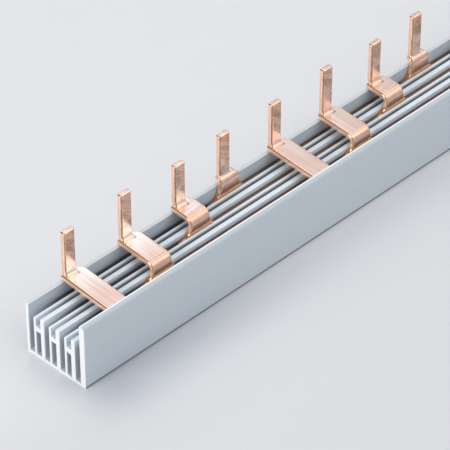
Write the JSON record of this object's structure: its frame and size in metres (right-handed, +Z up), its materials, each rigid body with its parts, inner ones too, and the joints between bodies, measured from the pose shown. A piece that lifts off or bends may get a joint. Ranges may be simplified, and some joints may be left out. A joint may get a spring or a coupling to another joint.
{
  "type": "comb busbar",
  "caption": "Pin-type comb busbar for modular breakers: copper combs with bent straps and upright pins, seated in an open plastic channel with H-shaped ribs.",
  "frame": {"origin": "middle of the channel's underside, on the plane that it rests on", "axes": "+X along the bar from the first pin to the last, +Y from the tall wall to the low wall beside the pins, +Z up along the pins"},
  "size_m": [0.2252, 0.0204, 0.0318],
  "materials": {
    "channel_plastic": "satin",
    "comb_copper": "bright rolled copper"
  },
  "bodies": {
    "root": {"channel_housing": "channel_plastic", "copper_comb_1": "comb_copper", "copper_comb_2": "comb_copper", "copper_comb_3": "comb_copper", "copper_comb_4": "comb_copper"}
  },
  "joints": []
}
